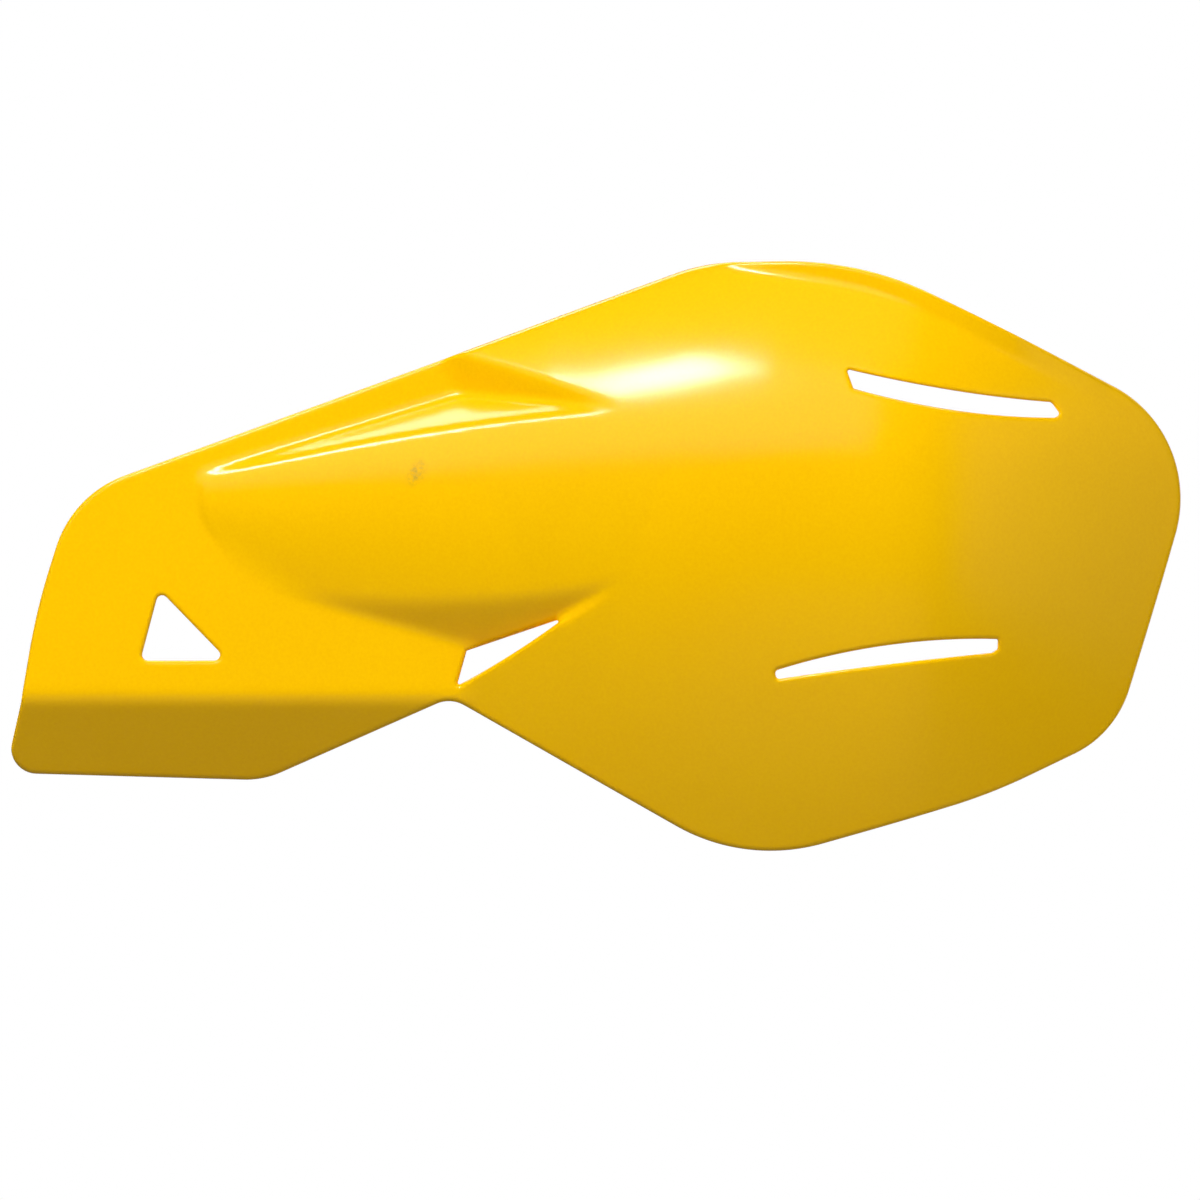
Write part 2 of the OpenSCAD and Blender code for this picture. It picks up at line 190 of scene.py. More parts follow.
def bowed(start, end, rise):
    """Points between two corners on a line that a parabola bows sideways."""
    share = np.linspace(0, 1, BOW_STEPS + 1)[1:-1, None]
    across = np.array([start[1] - end[1], end[0] - start[0]]) / np.linalg.norm(end - start)
    return start * (1 - share) + end * share + across * rise * 4 * share * (1 - share)


def resample(points, step):
    """The closed line with extra points, so that its pieces are about as long as step at most."""
    dense = []
    for here, there in zip(points, np.roll(points, -1, axis=0)):
        count = max(1, int(np.linalg.norm(there - here) / step + 0.5))
        dense.extend(here + (there - here) * k / count for k in range(count))
    return np.array(dense)


def rounded_loop(corners, bows, step):
    """A closed line through rounded corners, clockwise as seen from the front."""
    spots = [np.array(corner[:2], float) for corner in corners]
    count = len(spots)
    line = []
    for i in range(count):
        arc = round_corner(spots[i - 1], spots[i], spots[(i + 1) % count], corners[i][2], step)
        line.extend(arc)
        if bows[i]:
            following = (i + 1) % count
            after = round_corner(
                spots[i], spots[following], spots[(i + 2) % count], corners[following][2], step)
            line.extend(bowed(arc[-1], after[0], bows[i]))
    return resample(np.array(line), step)


def inset(loop, distance, inward):
    """The loop moved into the plastic by a distance."""
    ahead = np.roll(loop, -1, axis=0) - loop
    ahead /= np.linalg.norm(ahead, axis=1)[:, None]
    behind = np.roll(ahead, 1, axis=0)
    across = np.column_stack([ahead[:, 1] + behind[:, 1], -ahead[:, 0] - behind[:, 0]])
    across /= np.linalg.norm(across, axis=1)[:, None]
    square = np.column_stack([ahead[:, 1], -ahead[:, 0]])
    stretch = 1 / np.maximum(1 / WIDEST_STRETCH, (across * square).sum(axis=1))
    return loop + across * (distance * inward * stretch)[:, None]


def distance_to(points, loop):
    """Shortest distance from each point to a closed line."""
    best = np.full(len(points), np.inf)
    for start, end in zip(loop, np.roll(loop, -1, axis=0)):
        along = end - start
        share = np.clip(((points - start) @ along) / (along @ along), 0, 1)
        gap = points - start - share[:, None] * along
        best = np.minimum(best, np.einsum("ij,ij->i", gap, gap))
    return np.sqrt(best)


def is_inside(points, loop):
    """Whether each point lies inside a closed line."""
    inside = np.zeros(len(points), bool)
    for (x1, z1), (x2, z2) in zip(loop, np.roll(loop, -1, axis=0)):
        if z1 == z2:
            continue
        crosses = (z1 > points[:, 1]) != (z2 > points[:, 1])
        reach = x1 + (points[:, 1] - z1) * (x2 - x1) / (z2 - z1)
        inside ^= crosses & (points[:, 0] < reach)
    return inside


def make_loops():
    """The outline and the openings, each with the side on which its plastic lies."""
    loops = [(rounded_loop(OUTLINE, OUTLINE_BOWS, OUTLINE_STEP), 1)]
    for corners, bows in OPENINGS:
        loops.append((rounded_loop(corners, bows, OPENING_STEP), -1))
    return loops


def in_plastic(points, edges):
    """Whether each point lies inside the first closed line and outside all the others."""
    inside = is_inside(points, edges[0])
    for hole in edges[1:]:
        inside &= ~is_inside(points, hole)
    return inside


def make_plan():
    """The shell as seen from the front: points, their drop at the rounded rim, faces, and the rim's loops."""
    points, drops, faces, rims, inner = [], [], [], [], []
    for loop, inward in make_loops():
        rings = []
        for step in range(RIM_STEPS + 1):
            angle = math.pi / 2 * step / RIM_STEPS
            ring = inset(loop, EDGE_RADIUS * (1 - math.cos(angle)), inward)
            rings.append(np.arange(len(ring)) + len(points))
            points.extend(ring)
            drops.extend([EDGE_RADIUS * (1 - math.sin(angle))] * len(ring))
        rings.append(np.arange(len(loop)) + len(points))
        points.extend(inset(loop, EDGE_RADIUS + RIM_MARGIN, inward))
        drops.extend([0.0] * len(loop))
        for outer, closer in zip(rings, rings[1:]):
            quads = np.column_stack([outer, closer, np.roll(closer, -1), np.roll(outer, -1)])
            faces.extend((quads if inward > 0 else quads[:, ::-1]).tolist())
        rims.append((rings[0], inward))
        inner.append(rings[-1])
    points = [np.asarray(point) for point in points]
    faces.extend(fill_plan(points, drops, inner))
    return np.array(points), np.array(drops), faces, rims


def fill_plan(points, drops, inner):
    """Fills the face between the innermost loops with a fine grid, and returns its triangles."""
    edges = [np.array([points[i] for i in ring]) for ring in inner]
    low, high = edges[0].min(axis=0), edges[0].max(axis=0)
    across, up = np.meshgrid(np.arange(low[0], high[0], GRID), np.arange(low[1], high[1], GRID))
    grid = np.column_stack([across.ravel(), up.ravel()])
    grid = grid[in_plastic(grid, edges)]
    for line in edges:
        grid = grid[distance_to(grid, line) > GRID_GAP * GRID]
    sources, borders = [], []
    for ring in inner:
        first = len(sources)
        sources.extend(int(i) for i in ring)
        borders.extend((first + k, first + (k + 1) % len(ring)) for k in range(len(ring)))
    sources.extend(range(len(points), len(points) + len(grid)))
    points.extend(grid)
    drops.extend([0.0] * len(grid))
    spots = [Vector(points[i]) for i in sources]
    found, _, triangles, origins, _, _ = delaunay_2d_cdt(spots, borders, [], 0, SAME_POINT, True)
    names = [sources[given[0]] for given in origins]
    corners = np.array([[names[i] for i in triangle] for triangle in triangles])
    plan = np.array(points)
    corners = corners[in_plastic(plan[corners].mean(axis=1), edges)]
    ahead = plan[corners[:, 1]] - plan[corners[:, 0]]
    beside = plan[corners[:, 2]] - plan[corners[:, 0]]
    turn = ahead[:, 0] * beside[:, 1] - ahead[:, 1] * beside[:, 0]
    corners[turn < 0] = corners[turn < 0][:, ::-1]
    return corners[np.abs(turn) > LEAST_TURN].tolist()


class Field:
    """A value in a node tree, which plain arithmetic turns into math nodes."""

    def __init__(self, tree, socket):
        self.tree = tree
        self.socket = socket

    def math(self, operation, *others, clamp=False):
        node = self.tree.nodes.new("ShaderNodeMath")
        node.operation = operation
        node.use_clamp = clamp
        for slot, value in enumerate((self,) + others):
            if isinstance(value, Field):
                self.tree.links.new(value.socket, node.inputs[slot])
            else:
                node.inputs[slot].default_value = value
        return Field(self.tree, node.outputs[0])

    def __add__(self, other):
        return self.math("ADD", other)

    def __sub__(self, other):
        return self.math("SUBTRACT", other)

    def __mul__(self, other):
        return self.math("MULTIPLY", other)

    def __neg__(self):
        return self * -1.0

    def clamped(self):
        return self.math("ADD", 0.0, clamp=True)

    def root(self):
        return self.math("SQRT")

    def largest(self, other):
        return self.math("MAXIMUM", other)


def soft_min(a, b, width):
    """The lower of two faces, blended over a width."""
    share = ((b - a) * (0.5 / width) + 0.5).clamped()
    return b - share * (b - a) - share * (-share + 1.0) * width


def soft_max(a, b, width):
    """The higher of two faces, blended over a width."""
    return -soft_min(-a, -b, width)


def bow(distance, slope, turn):
    """A curve that starts flat and bends to a steady slope."""
    return ((distance * distance + turn * turn).root() - turn) * slope


def past_line(x, z, point, across):
    """How far a place lies past a line on the plan, which is given by a point and the way across it."""
    return (x - point[0]) * across[0] + (z - point[1]) * across[1]


def add_input(tree, name, value, kind="NodeSocketFloat"):
    """A named input of a node tree."""
    socket = tree.interface.new_socket(name, in_out="INPUT", socket_type=kind)
    if value is not None:
        socket.default_value = value
    return socket


def height_group():
    """Node group: how far the front face stands in front of the arm plate at a place on the plan."""
    tree = bpy.data.node_groups.new("Guard height", "GeometryNodeTree")
    add_input(tree, "X", 0.0)
    add_input(tree, "Z", 0.0)
    for name, value in RULE.items():
        add_input(tree, name, value)
    tree.interface.new_socket("Height", in_out="OUTPUT", socket_type="NodeSocketFloat")
    given = tree.nodes.new("NodeGroupInput")
    size = {name: Field(tree, given.outputs[name]) for name in RULE}
    x = Field(tree, given.outputs["X"])
    z = Field(tree, given.outputs["Z"])

    past = (x - size["Wrap start"]).largest(0.0)
    rise = soft_max(
        (x - size["Bulge start"]) * size["Bulge slope"],
        (x - size["Shield start"]) * size["Shield slope"], RISE_BLEND)
    crown = soft_min(rise, size["Dome height"] - bow(past, size["Wrap slope"], WRAP_TURN), DOME_BLEND)
    far = ((x - CROWN_START) * (1 / CROWN_RUN)).clamped()
    crown_z = far * (CROWN_HIGH - CROWN_LOW) + CROWN_LOW
    above = (z - crown_z).largest(0.0)
    below = (crown_z - z).largest(0.0)
    soon = ((x - CROWN_START) * (1 / UPPER_RUN)).clamped()
    upper_turn = soon * (UPPER_TURN - NOSE_UPPER_TURN) + NOSE_UPPER_TURN
    lower_turn = far * (LOWER_TURN - NOSE_LOWER_TURN) + NOSE_LOWER_TURN
    lower_slope = far * (size["Lower slope"] - NOSE_LOWER_SLOPE) + NOSE_LOWER_SLOPE
    dome = crown - bow(above, size["Upper slope"], upper_turn) - bow(below, lower_slope, lower_turn)

    band = (z + size["Band drop"]) * size["Band slope"]
    plate_end = (x - size["Scoop start"] - PLATE_END_STEP) * PLATE_END_SLOPE
    arm = soft_min(soft_min(0.0, band, CREASE_BLEND), plate_end, PLATE_END_BLEND)

    wall_foot = (x - BULGE_FOOT_X) * BULGE_FOOT_SLOPE + size["Bulge foot"]
    top_wall = (wall_foot - z) * size["Bulge wall slope"]
    under = (z + size["Under foot"] - x * UNDER_FOOT_SLOPE) * size["Under slope"]
    nose = (x - size["Nose"]) * NOSE_SLOPE
    cheek = past_line(x, z, (size["Nose"] + CHEEK_STEP, 0.0), CHEEK_ACROSS) * NOSE_SLOPE
    bulge = soft_min(soft_min(top_wall, nose, NOSE_BLEND), soft_min(under, cheek, UNDER_BLEND), UNDER_BLEND)

    scoop = past_line(x, z, (size["Scoop start"], SCOOP_Z), SCOOP_ACROSS) * size["Scoop slope"]
    wing = dome + past_line(x, z, WING_CORNER, WING_ACROSS) * WING_STEP
    shield = soft_max(scoop, wing, WING_BLEND)
    body = soft_min(dome, soft_max(bulge, shield, CREASE_BLEND), RIDGE_BLEND)

    lip_inner = past_line(x, z, LIP_INNER, LIP_INNER_ACROSS)
    lip_outer = past_line(x, z, LIP_OUTER, LIP_OUTER_ACROSS)
    past_crease = soft_max(lip_inner, lip_outer, LIP_TURN_BLEND)
    fade = ((-x + LIP_END) * (1 / LIP_FADE)).clamped()
    ramp = (past_crease + (past_crease * past_crease + LIP_BLEND ** 2).root()) * 0.5
    height = soft_max(arm, body, FOOT_BLEND) + ramp * fade * size["Lip flare"]

    result = tree.nodes.new("NodeGroupOutput")
    tree.links.new(height.socket, result.inputs["Height"])
    return tree


def skin_tree(material):
    """Geometry Nodes that stand the flat plan up into the moulded shell."""
    rule = height_group()
    tree = bpy.data.node_groups.new("Guard skin", "GeometryNodeTree")
    add_input(tree, "Plan", None, "NodeSocketGeometry")
    add_input(tree, "Wall", WALL)
    for name, value in RULE.items():
        add_input(tree, name, value)
    tree.interface.new_socket("Skin", in_out="OUTPUT", socket_type="NodeSocketGeometry")
    given = tree.nodes.new("NodeGroupInput")
    place = tree.nodes.new("ShaderNodeSeparateXYZ")
    tree.links.new(tree.nodes.new("GeometryNodeInputPosition").outputs[0], place.inputs[0])
    x = Field(tree, place.outputs["X"]) * (1 / MM)
    z = Field(tree, place.outputs["Z"]) * (1 / MM)

    def height_at(across, up):
        node = tree.nodes.new("GeometryNodeGroup")
        node.node_tree = rule
        tree.links.new(across.socket, node.inputs["X"])
        tree.links.new(up.socket, node.inputs["Z"])
        for name in RULE:
            tree.links.new(given.outputs[name], node.inputs[name])
        return Field(tree, node.outputs["Height"])

    def named(attribute):
        node = tree.nodes.new("GeometryNodeInputNamedAttribute")
        node.data_type = "FLOAT"
        node.inputs["Name"].default_value = attribute
        return Field(tree, node.outputs["Attribute"])

    reach = SLOPE_REACH
    side = named("rear_side")
    thickness = Field(tree, given.outputs["Wall"])
    slope_x = (height_at(x + reach, z) - height_at(x - reach, z)) * (0.5 / reach)
    slope_z = (height_at(x, z + reach) - height_at(x, z - reach)) * (0.5 / reach)
    wall = (slope_x * slope_x + slope_z * slope_z + 1.0).root() * thickness
    front = -height_at(x, z) - thickness
    depth = front + side * wall + (side * -2.0 + 1.0) * named("rim_drop")
    spot = tree.nodes.new("ShaderNodeCombineXYZ")
    tree.links.new((x * MM).socket, spot.inputs["X"])
    tree.links.new((depth * MM).socket, spot.inputs["Y"])
    tree.links.new((z * MM).socket, spot.inputs["Z"])
    move = tree.nodes.new("GeometryNodeSetPosition")
    tree.links.new(given.outputs["Plan"], move.inputs["Geometry"])
    tree.links.new(spot.outputs[0], move.inputs["Position"])
    real = tree.nodes.new("GeometryNodeRealizeInstances")
    tree.links.new(move.outputs[0], real.inputs[0])
    paint = tree.nodes.new("GeometryNodeSetMaterial")
    paint.inputs["Material"].default_value = material
    tree.links.new(real.outputs[0], paint.inputs["Geometry"])
    result = tree.nodes.new("NodeGroupOutput")
    tree.links.new(paint.outputs[0], result.inputs[0])
    return tree


def link_object(name, mesh):
    """A new object at the origin, shown in the scene."""
    made = bpy.data.objects.new(name, mesh)
    bpy.context.scene.collection.objects.link(made)
    return made


def plan_object():
    """The flat plan, twice over: a front sheet and a rear sheet joined by the rim."""
    points, drops, faces, rims = make_plan()
    count = len(points)
    sheet = [(x * MM, 0.0, z * MM) for x, z in points]
    everything = faces + [[corner + count for corner in reversed(face)] for face in faces]
    for ring, inward in rims:
        quads = np.column_stack([ring, np.roll(ring, -1), np.roll(ring, -1) + count, ring + count])
        everything.extend((quads if inward > 0 else quads[:, ::-1]).tolist())
    mesh = bpy.data.meshes.new("guard_plan")
    mesh.from_pydata(sheet + sheet, [], everything)
    drop = mesh.attributes.new("rim_drop", "FLOAT", "POINT")
    drop.data.foreach_set("value", np.concatenate([drops, drops]).astype(np.float32))
    side = mesh.attributes.new("rear_side", "FLOAT", "POINT")
    side.data.foreach_set("value", np.repeat([0.0, 1.0], count).astype(np.float32))
    return link_object("guard_shell_moulding", mesh)


def turned(profile, centre_x, lean):
    """A solid turned about an axis along Y; lean is how far its front end follows the skin's slope."""
    work = bmesh.new()
    rings = []
    for radius, y, follows in profile:
        if radius == 0:
            rings.append([work.verts.new((centre_x * MM, y * MM, 0))])
            continue
        ring = []
        for k in range(BOSS_SIDES):
            angle = 2 * math.pi * k / BOSS_SIDES
            across = radius * math.cos(angle)
            spot = (centre_x + across, y - lean * across * follows, radius * math.sin(angle))
            ring.append(work.verts.new([value * MM for value in spot]))
        rings.append(ring)
    for first, second in zip(rings, rings[1:]):
        for k in range(BOSS_SIDES):
            after = (k + 1) % BOSS_SIDES
            corners = [
                first[k % len(first)], first[after % len(first)],
                second[after % len(second)], second[k % len(second)]]
            work.faces.new(list(dict.fromkeys(corners)))
    bmesh.ops.recalc_face_normals(work, faces=work.faces)
    mesh = bpy.data.meshes.new("boss")
    work.to_mesh(mesh)
    work.free()
    return link_object("boss", mesh)


def boss_object(side):
    """One rear screw boss with its foot fillet and blind pilot hole."""
    centre_x = side * SCREW_SPACING / 2
    skin = RULE["Bulge slope"] * (centre_x - RULE["Bulge start"]) + WALL / 2
    rear = WALL / 2 - skin
    foot = [
        (BOSS_RADIUS + BOSS_FOOT * (1 - math.sin(angle)), rear + BOSS_FOOT * (1 - math.cos(angle)), 1)
        for angle in np.linspace(0, math.pi / 2, BOSS_FOOT_STEPS + 1)]
    profile = [(0, -skin, 1), (BOSS_RADIUS + BOSS_FOOT, -skin, 1)] + foot + [
        (BOSS_RADIUS, -BOSS_CHAMFER, 0), (BOSS_RADIUS - BOSS_CHAMFER, 0, 0),
        (PILOT_RADIUS + BOSS_CHAMFER, 0, 0), (PILOT_RADIUS, -BOSS_CHAMFER, 0),
        (PILOT_RADIUS, -PILOT_DEPTH, 0), (0, -PILOT_DEPTH, 0)]
    return turned(profile, centre_x, RULE["Bulge slope"])


def freeze(made):
    """Replaces an object's mesh by the result of its modifiers."""
    bpy.context.view_layer.update()
    result = bpy.data.meshes.new_from_object(made.evaluated_get(bpy.context.evaluated_depsgraph_get()))
    made.modifiers.clear()
    made.data = result


def guard_shell(material):
    """The whole moulding: the skin stood up from its plan, with both bosses fused to its rear."""
    shell = plan_object()
    stand = shell.modifiers.new("Guard skin", "NODES")
    stand.node_group = skin_tree(material)
    sizes = dict(RULE, Wall=WALL)
    for socket in stand.node_group.interface.items_tree:
        if socket.in_out == "INPUT" and socket.name in sizes:
            stand[socket.identifier] = sizes[socket.name]
    freeze(shell)
    for side in (-1, 1):
        boss = boss_object(side)
        fuse = shell.modifiers.new("fuse boss", "BOOLEAN")
        fuse.operation = "UNION"
        fuse.solver = "EXACT"
        fuse.object = boss
        freeze(shell)
        bpy.data.objects.remove(boss)
    shell.data.materials.clear()
    shell.data.materials.append(material)
    shell.data.polygons.foreach_set("material_index", [0] * len(shell.data.polygons))
    shell.data.polygons.foreach_set("use_smooth", [True] * len(shell.data.polygons))
    return shell


def new_group(name, inputs, outputs):
    """An empty shader node group with named inputs and outputs."""
    tree = bpy.data.node_groups.new(name, "ShaderNodeTree")
    for label, kind, value in inputs:
        add_input(tree, label, value, kind)
    for label, kind in outputs:
        tree.interface.new_socket(label, in_out="OUTPUT", socket_type=kind)
    return tree, tree.nodes.new("NodeGroupInput"), tree.nodes.new("NodeGroupOutput")


def noise_over(tree, place, scale, detail):
    """A noise pattern over the moulding, as a value."""
    noise = tree.nodes.new("ShaderNodeTexNoise")
    noise.inputs["Scale"].default_value = scale
    noise.inputs["Detail"].default_value = detail
    tree.links.new(place, noise.inputs["Vector"])
    return Field(tree, noise.outputs["Fac"])


# The plastic's two pigments, how much of the deeper one there is, and how cloud and speckle spread it
YELLOW = (0.98, 0.555, 0.0, 1)
DEEP_YELLOW = (0.93, 0.485, 0.0, 1)
PIGMENT_DRIFT = 0.8
DEEP_SHARE = 0.35
CLOUD_SCALE = 14
CLOUD_SPREAD = 1.1
SPECKLE_SCALE = 1300
SPECKLE_SPREAD = 1.6


def moulded_colour_group():
    """Shader group: pigment that drifts a little over the moulding, with a fine speckle."""
    tree, given, result = new_group(
        "Moulded pigment",
        [("Place", "NodeSocketVector", None), ("Pigment", "NodeSocketColor", YELLOW),
         ("Deep pigment", "NodeSocketColor", DEEP_YELLOW), ("Drift", "NodeSocketFloat", PIGMENT_DRIFT)],
        [("Colour", "NodeSocketColor"), ("Cloud", "NodeSocketFloat")])
    cloud = noise_over(tree, given.outputs["Place"], CLOUD_SCALE, 3)
    speckle = noise_over(tree, given.outputs["Place"], SPECKLE_SCALE, 2)
    spread = (cloud - 0.5) * CLOUD_SPREAD + (speckle - 0.5) * SPECKLE_SPREAD + DEEP_SHARE
    share = spread.clamped() * Field(tree, given.outputs["Drift"])
    blend = tree.nodes.new("ShaderNodeMix")
    blend.data_type = "RGBA"
    tree.links.new(share.socket, blend.inputs["Factor"])
    tree.links.new(given.outputs["Pigment"], blend.inputs["A"])
    tree.links.new(given.outputs["Deep pigment"], blend.inputs["B"])
    tree.links.new(blend.outputs["Result"], result.inputs["Colour"])
    tree.links.new(cloud.socket, result.inputs["Cloud"])
    return tree


# The painted shade mark, a faint dark patch where the rear screw boss shows through the plastic: its place,
# size and lean, how it breaks up, and how far back it reaches into the moulding
SHADE_MARK_AT = (11.8, 0.0, 9.0)
SHADE_MARK_SIZE = (4.6, 60.0, 2.8)
SHADE_MARK_LEAN = -55
# Colour of the painted shade near the rear screw boss
SHADE_MARK_COLOUR = (0.42, 0.22, 0.005, 1)
SHADE_MARK_STRENGTH = 0.6
SHADE_MARK_EDGE = 1.8
SHADE_MARK_GRAIN_SCALE = 1100
SHADE_MARK_GRAIN_FLOOR = 0.38
SHADE_MARK_GRAIN_CONTRAST = 3.0
SHADE_MARK_BACK = -12.5
SHADE_MARK_BACK_FADE = 0.5


def shade_mark_group():
    """Shader group: painted shade, the faint dark mark on the front of the bulge."""
    tree, given, result = new_group(
        "Painted shade mark", [("Place", "NodeSocketVector", None)], [("Mark", "NodeSocketFloat")])
    centre = tree.nodes.new("ShaderNodeMapping")
    centre.vector_type = "TEXTURE"
    centre.inputs["Location"].default_value = [value * MM for value in SHADE_MARK_AT]
    centre.inputs["Rotation"].default_value = (0, math.radians(SHADE_MARK_LEAN), 0)
    centre.inputs["Scale"].default_value = [value * MM for value in SHADE_MARK_SIZE]
    tree.links.new(given.outputs["Place"], centre.inputs["Vector"])
    length = tree.nodes.new("ShaderNodeVectorMath")
    length.operation = "LENGTH"
    tree.links.new(centre.outputs[0], length.inputs[0])
    grain = noise_over(tree, given.outputs["Place"], SHADE_MARK_GRAIN_SCALE, 4)
    round_off = ((-Field(tree, length.outputs["Value"]) + 1.0) * SHADE_MARK_EDGE).clamped()
    broken = ((grain - SHADE_MARK_GRAIN_FLOOR) * SHADE_MARK_GRAIN_CONTRAST).clamped()
    place = tree.nodes.new("ShaderNodeSeparateXYZ")
    tree.links.new(given.outputs["Place"], place.inputs[0])
    front = ((Field(tree, place.outputs["Y"]) - SHADE_MARK_BACK * MM) * (-1 / (SHADE_MARK_BACK_FADE * MM))).clamped()
    tree.links.new((round_off * broken * front).socket, result.inputs["Mark"])
    return tree


# The gloss, and the height in metres of the slow flow ripple and the fine texture on it
GLOSS_ROUGHNESS = 0.16
CLOUD_ROUGHNESS = 0.05
SHADE_MARK_ROUGHNESS = 0.25
GLOSS_LEVEL = 0.3
RIPPLE_SCALE = 60
TEXTURE_SCALE = 1500
TEXTURE_SHARE = 0.05
RIPPLE_HEIGHT = 0.00012
RIPPLE_STRENGTH = 0.5


def yellow_plastic():
    """Glossy moulded plastic: pigment drift, a painted shade mark, fine flow ripples."""
    material = bpy.data.materials.new("moulded yellow plastic")
    material.use_nodes = True
    tree = material.node_tree
    shader = tree.nodes["Principled BSDF"]
    place = tree.nodes.new("ShaderNodeTexCoord").outputs["Object"]

    pigment = tree.nodes.new("ShaderNodeGroup")
    pigment.node_tree = moulded_colour_group()
    pigment.inputs["Pigment"].default_value = YELLOW
    pigment.inputs["Deep pigment"].default_value = DEEP_YELLOW
    pigment.inputs["Drift"].default_value = PIGMENT_DRIFT
    shade_mark = tree.nodes.new("ShaderNodeGroup")
    shade_mark.node_tree = shade_mark_group()
    for group in (pigment, shade_mark):
        tree.links.new(place, group.inputs["Place"])
    # Painted shade: the faint dark mark near the rear screw boss, mixed into the pigment
    shaded_colour = tree.nodes.new("ShaderNodeMix")
    shaded_colour.data_type = "RGBA"
    shaded_colour.inputs["B"].default_value = SHADE_MARK_COLOUR
    mark = Field(tree, shade_mark.outputs["Mark"])
    tree.links.new((mark * SHADE_MARK_STRENGTH).socket, shaded_colour.inputs["Factor"])
    tree.links.new(pigment.outputs["Colour"], shaded_colour.inputs["A"])
    tree.links.new(shaded_colour.outputs["Result"], shader.inputs["Base Color"])

    clouded = (Field(tree, pigment.outputs["Cloud"]) - 0.5) * CLOUD_ROUGHNESS + GLOSS_ROUGHNESS
    rough = clouded + mark * SHADE_MARK_ROUGHNESS
    tree.links.new(rough.clamped().socket, shader.inputs["Roughness"])
    shader.inputs["Specular IOR Level"].default_value = GLOSS_LEVEL

    ripple = noise_over(tree, place, RIPPLE_SCALE, 2)
    texture = noise_over(tree, place, TEXTURE_SCALE, 1)
    relief = ripple + texture * TEXTURE_SHARE
    bump = tree.nodes.new("ShaderNodeBump")
    bump.inputs["Strength"].default_value = RIPPLE_STRENGTH
    bump.inputs["Distance"].default_value = RIPPLE_HEIGHT
    tree.links.new(relief.socket, bump.inputs["Height"])
    tree.links.new(bump.outputs[0], shader.inputs["Normal"])
    return material


# The view's centre and width on the guard, and the camera's distance in metres
VIEW_CENTRE = (57.5, -22.5)
VIEW_WIDTH = 300.0
VIEW_DISTANCE = 1.7
SENSOR_WIDTH = 36


def add_camera():
    """A long lens straight in front of the guard, framed as the photograph is."""
    camera = bpy.data.cameras.new("camera")
    camera.sensor_width = SENSOR_WIDTH
    camera.lens = camera.sensor_width * VIEW_DISTANCE / (VIEW_WIDTH * MM)
    camera.clip_start = 0.01
    made = link_object("camera", camera)
    made.location = (VIEW_CENTRE[0] * MM, -VIEW_DISTANCE, VIEW_CENTRE[1] * MM)
    made.rotation_euler = (math.pi / 2, 0, 0)
    bpy.context.scene.camera = made


def add_lamp(name, place, target, size, power, on_surface, in_gloss, roll=0.0):
    """A soft rectangular lamp that faces a point, turned by a roll in degrees about its own axis."""
    lamp = bpy.data.lights.new(name, "AREA")
    lamp.shape = "RECTANGLE"
    lamp.size, lamp.size_y = size
    lamp.energy = power
    made = link_object(name, lamp)
    made.location = place
    facing = (Vector(target) - Vector(place)).to_track_quat("-Z", "Y")
    made.rotation_euler = (facing @ Quaternion((0, 0, 1), math.radians(roll))).to_euler()
    made.visible_diffuse = on_surface
    made.visible_glossy = in_gloss
    made.visible_camera = False


# In metres: the guard's middle, and the spot on the dome that mirrors the key light
GUARD_MIDDLE = Vector((0.06, 0.0, -0.02))
GLINT_SPOT = Vector((0.0725, -0.0246, 0.0325))
KEY_PLACE = GLINT_SPOT + Vector((-0.426, -0.595, 0.681)) * 1.1
# Soft lamps that face the middle: name, direction, distance, size and power
SOFT_LAMPS = [
    ("upper left light", Vector((-0.366, -0.785, 0.5)), 1.2, (1.0, 0.8), 13.3),
    ("right light", Vector((0.966, -0.259, 0.0)), 1.2, (1.1, 1.1), 6.4),
    ("high light", Vector((0.0, -0.5, 0.87)), 1.2, (0.8, 0.5), 1.4),
    ("low fill", Vector((0.1, -0.62, -0.62)), 1.1, (0.9, 0.6), 1.0),
]


def add_lights():
    """A key light that the dome mirrors, soft light all round the front, a lamp behind and one overhead."""
    add_lamp("glint light", KEY_PLACE, GLINT_SPOT, (0.28, 0.16), 6.6, False, True, 45)
    add_lamp("key light", KEY_PLACE, GLINT_SPOT, (0.3, 0.3), 4.0, True, False)
    for name, direction, distance, size, power in SOFT_LAMPS:
        add_lamp(name, GUARD_MIDDLE + direction * distance, GUARD_MIDDLE, size, power, True, False)
    add_lamp("rear light", (0.3, 1.2, 0.35), GUARD_MIDDLE, (0.8, 0.6), 14, True, False)
    add_lamp("overhead light", (0.0, 0.35, 0.95), (0.0, 0.0, 0.02), (1.2, 0.45), 13, False, True)


# The stage, in metres, and the light that a surface takes from the white room
FLOOR_HEIGHT = -0.95
BACKDROP_PLACE = 2.4
STAGE_HALF = 2.4
ROOM_LIGHT = 0.04


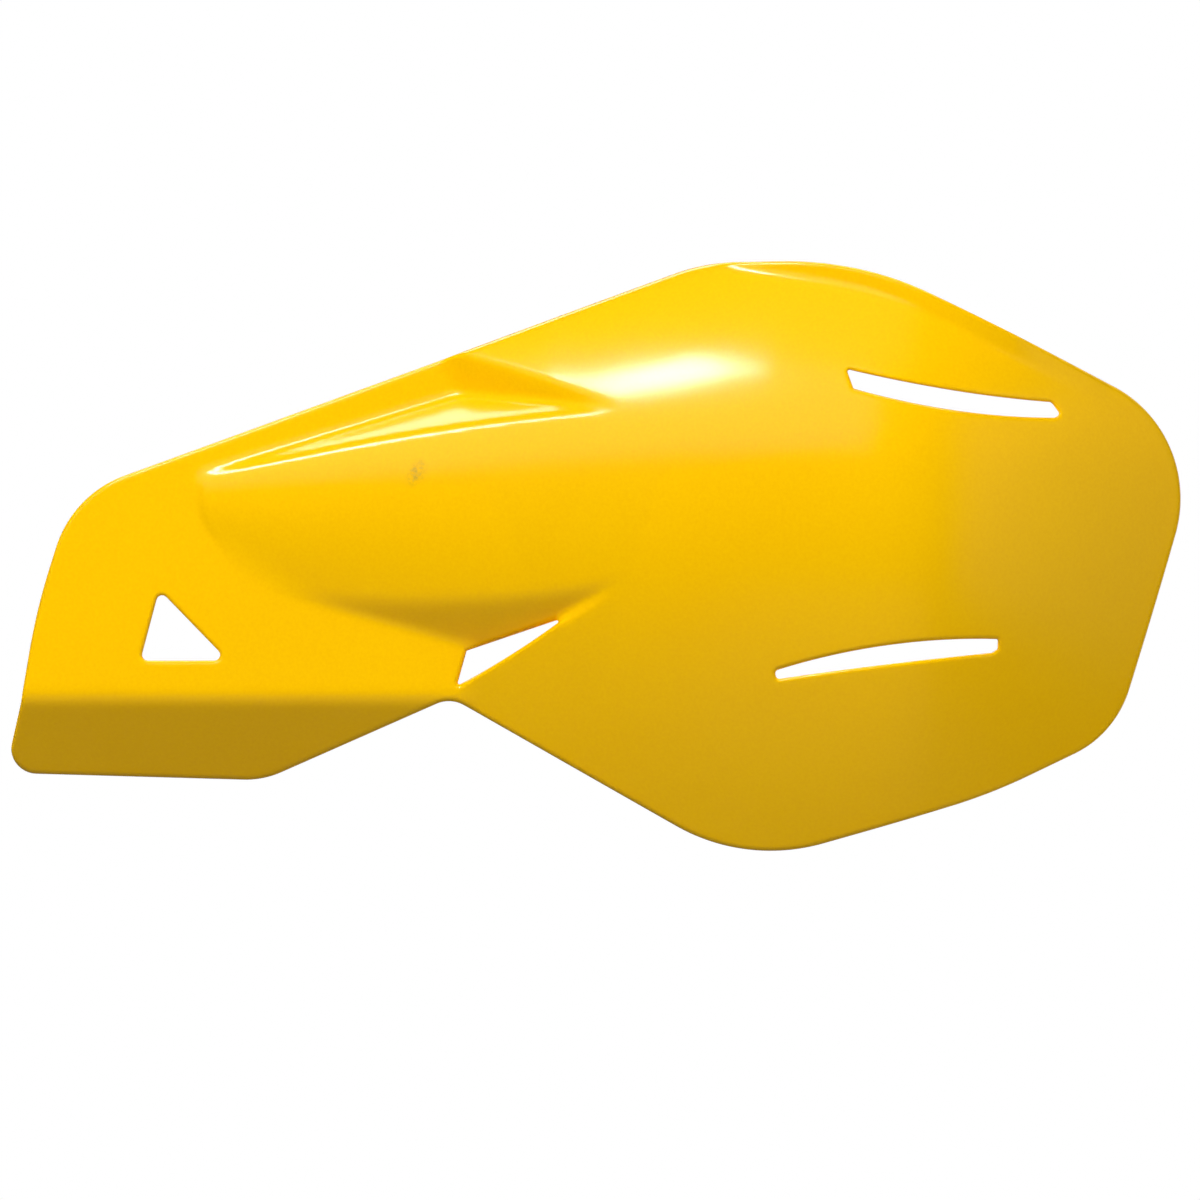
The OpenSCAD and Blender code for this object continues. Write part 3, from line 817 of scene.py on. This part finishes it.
def pale_surface(name, grey, rays, glow):
    """A surface that glows white to the named kinds of ray, and is a matt grey to all light."""
    material = bpy.data.materials.new(name)
    material.use_nodes = True
    tree = material.node_tree
    shader = tree.nodes["Principled BSDF"]
    shader.inputs["Base Color"].default_value = (grey, grey, grey, 1)
    shader.inputs["Roughness"].default_value = 0.9
    path = tree.nodes.new("ShaderNodeLightPath")
    seen = Field(tree, path.outputs["Is Camera Ray"])
    for ray in rays:
        seen = seen.largest(Field(tree, path.outputs[ray]))
    white = tree.nodes.new("ShaderNodeEmission")
    blend = tree.nodes.new("ShaderNodeMixShader")
    tree.links.new((seen * glow).socket, blend.inputs[0])
    tree.links.new(shader.outputs[0], blend.inputs[1])
    tree.links.new(white.outputs[0], blend.inputs[2])
    tree.links.new(blend.outputs[0], tree.nodes["Material Output"].inputs["Surface"])
    return material


def add_sheet(name, corners, material):
    """A flat stage piece from its four corners."""
    mesh = bpy.data.meshes.new(name)
    mesh.from_pydata(corners, [], [(0, 1, 2, 3)])
    mesh.materials.append(material)
    link_object(name, mesh)


def add_studio():
    """A white backdrop far behind the guard, a pale floor well below it, in a white room."""
    half, back, floor = STAGE_HALF, BACKDROP_PLACE, FLOOR_HEIGHT
    add_sheet(
        "backdrop", [(-half, back, floor), (half, back, floor), (half, back, half), (-half, back, half)],
        pale_surface("white backdrop", 0.8, ["Is Glossy Ray", "Is Transmission Ray"], 1.0))
    add_sheet(
        "floor", [(-half, -half, floor), (half, -half, floor), (half, back, floor), (-half, back, floor)],
        pale_surface("pale floor", 0.25, [], 0.85))

    world = bpy.data.worlds.new("white room")
    bpy.context.scene.world = world
    world.use_nodes = True
    tree = world.node_tree
    room = tree.nodes["Background"]
    room.inputs["Color"].default_value = (1, 1, 1, 1)
    path = tree.nodes.new("ShaderNodeLightPath")
    strength = Field(tree, path.outputs["Is Camera Ray"]) * (1 - ROOM_LIGHT) + ROOM_LIGHT
    tree.links.new(strength.socket, room.inputs["Strength"])


def main():
    """Builds the guard, its light and its view."""
    scene = bpy.context.scene
    scene.view_settings.view_transform = "Standard"
    add_camera()
    shell = guard_shell(yellow_plastic())
    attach(shell, "root")
    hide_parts("guard_shell")
    add_lights()
    add_studio()


main()
